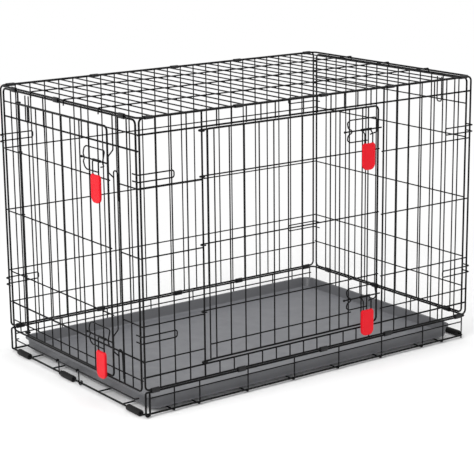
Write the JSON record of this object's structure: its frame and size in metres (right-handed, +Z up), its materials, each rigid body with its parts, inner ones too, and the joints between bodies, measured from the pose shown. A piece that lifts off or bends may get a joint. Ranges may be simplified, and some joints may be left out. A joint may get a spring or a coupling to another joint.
{
  "type": "dog crate",
  "caption": "Folding wire dog crate with a large side door, an end door, slide bolts with red grips, a lift-out floor pan and a pan stop",
  "frame": {"origin": "on the floor, under the middle of the crate's bounding box", "axes": "+X along the long side, towards the plain end; -Y out of the panel with the large door; +Z up"},
  "size_m": [0.9412, 0.5966, 0.6397],
  "materials": {
    "coated_wire": "satin black coating",
    "clip_steel": "satin black coating",
    "red_grip": "smooth red",
    "pan_plastic": "fine matt grain",
    "rubber_feet": "matt"
  },
  "bodies": {
    "cage": {"base_floor": "coated_wire", "base_front_wall": "coated_wire", "base_back_wall": "coated_wire", "base_end_wall": "coated_wire", "front_panel": "coated_wire", "back_panel": "coated_wire", "top_panel": "coated_wire", "front_top_clip_1": "clip_steel", "front_top_clip_2": "clip_steel", "front_top_clip_3": "clip_steel", "front_top_clip_4": "clip_steel", "front_top_clip_5": "clip_steel", "front_base_clip_1": "clip_steel", "front_base_clip_2": "clip_steel", "front_base_clip_3": "clip_steel", "front_base_clip_4": "clip_steel", "front_base_clip_5": "clip_steel", "back_top_clip_1": "clip_steel", "back_top_clip_2": "clip_steel", "back_top_clip_3": "clip_steel", "back_top_clip_4": "clip_steel", "back_top_clip_5": "clip_steel", "back_base_clip_1": "clip_steel", "back_base_clip_2": "clip_steel", "back_base_clip_3": "clip_steel", "back_base_clip_4": "clip_steel", "back_base_clip_5": "clip_steel", "left_end_clip_1": "clip_steel", "left_end_clip_2": "clip_steel", "left_end_clip_3": "clip_steel", "right_end_clip_1": "clip_steel", "right_end_clip_2": "clip_steel", "right_end_clip_3": "clip_steel", "left_foot_1": "rubber_feet", "left_foot_2": "rubber_feet", "left_foot_3": "rubber_feet", "right_foot_1": "rubber_feet", "right_foot_2": "rubber_feet", "right_foot_3": "rubber_feet"},
    "left_end": {"left_end": "coated_wire", "bolt_receiver": "coated_wire"},
    "right_end": {"right_end": "coated_wire"},
    "front_door": {"front_door": "coated_wire"},
    "end_door": {"end_door": "coated_wire"},
    "pan": {"floor_pan": "pan_plastic"},
    "pan_stop": {"pan_stop": "coated_wire"},
    "front_upper_bolt": {"front_upper_bolt": "coated_wire"},
    "front_upper_lever": {"front_upper_lever": "coated_wire", "front_upper_grip": "red_grip"},
    "front_lower_bolt": {"front_lower_bolt": "coated_wire"},
    "front_lower_lever": {"front_lower_lever": "coated_wire", "front_lower_grip": "red_grip"},
    "end_upper_bolt": {"end_upper_bolt": "coated_wire"},
    "end_upper_lever": {"end_upper_lever": "coated_wire", "end_upper_grip": "red_grip"},
    "end_lower_bolt": {"end_lower_bolt": "coated_wire"},
    "end_lower_lever": {"end_lower_lever": "coated_wire", "end_lower_grip": "red_grip"}
  },
  "joints": [
    {"name": "left_end_fold", "type": "hinge", "parent": "cage", "child": "left_end", "pos_m": [-0.4519, 0.00156, 0.6301], "axis": [0, 1, 0], "range_deg": [-75, 0]},
    {"name": "right_end_fold", "type": "hinge", "parent": "cage", "child": "right_end", "pos_m": [0.4621, 0.00156, 0.0619], "axis": [0, 1, 0], "range_deg": [-88, 0]},
    {"name": "front_door_hinge", "type": "hinge", "parent": "cage", "child": "front_door", "pos_m": [-0.29957, -0.29044, 0.094], "axis": [0, 0, -1], "range_deg": [0, 160]},
    {"name": "end_door_hinge", "type": "hinge", "parent": "left_end", "child": "end_door", "pos_m": [-0.4519, 0.21276, 0.065], "axis": [0, 0, -1], "range_deg": [0, 150]},
    {"name": "pan_slide", "type": "slide", "parent": "cage", "child": "pan", "axis": [1, 0, 0], "range_m": [-0.014, 0.022]},
    {"name": "pan_stop_hinge", "type": "hinge", "parent": "cage", "child": "pan_stop", "pos_m": [-0.4519, 0.00156, 0.007], "axis": [0, -1, 0], "range_deg": [0, 85]},
    {"name": "front_upper_bolt_slide", "type": "slide", "parent": "front_door", "child": "front_upper_bolt", "axis": [1, 0, 0], "range_m": [-0.022, 0.012]},
    {"name": "front_upper_lever_turn", "type": "hinge", "parent": "front_upper_bolt", "child": "front_upper_lever", "pos_m": [0.19302, -0.28644, 0.545], "axis": [-1, 0, 0], "range_deg": [0, 100]},
    {"name": "front_lower_bolt_slide", "type": "slide", "parent": "front_door", "child": "front_lower_bolt", "axis": [1, 0, 0], "range_m": [-0.022, 0.012]},
    {"name": "front_lower_lever_turn", "type": "hinge", "parent": "front_lower_bolt", "child": "front_lower_lever", "pos_m": [0.19302, -0.28644, 0.1595], "axis": [-1, 0, 0], "range_deg": [0, 100]},
    {"name": "end_upper_bolt_slide", "type": "slide", "parent": "end_door", "child": "end_upper_bolt", "axis": [0, -1, 0], "range_m": [-0.022, 0.012]},
    {"name": "end_upper_lever_turn", "type": "hinge", "parent": "end_upper_bolt", "child": "end_upper_lever", "pos_m": [-0.4643, -0.18844, 0.529], "axis": [0, 1, 0], "range_deg": [0, 100]},
    {"name": "end_lower_bolt_slide", "type": "slide", "parent": "end_door", "child": "end_lower_bolt", "axis": [0, -1, 0], "range_m": [-0.022, 0.012]},
    {"name": "end_lower_lever_turn", "type": "hinge", "parent": "end_lower_bolt", "child": "end_lower_lever", "pos_m": [-0.4643, -0.18844, 0.1435], "axis": [0, 1, 0], "range_deg": [0, 100]}
  ]
}
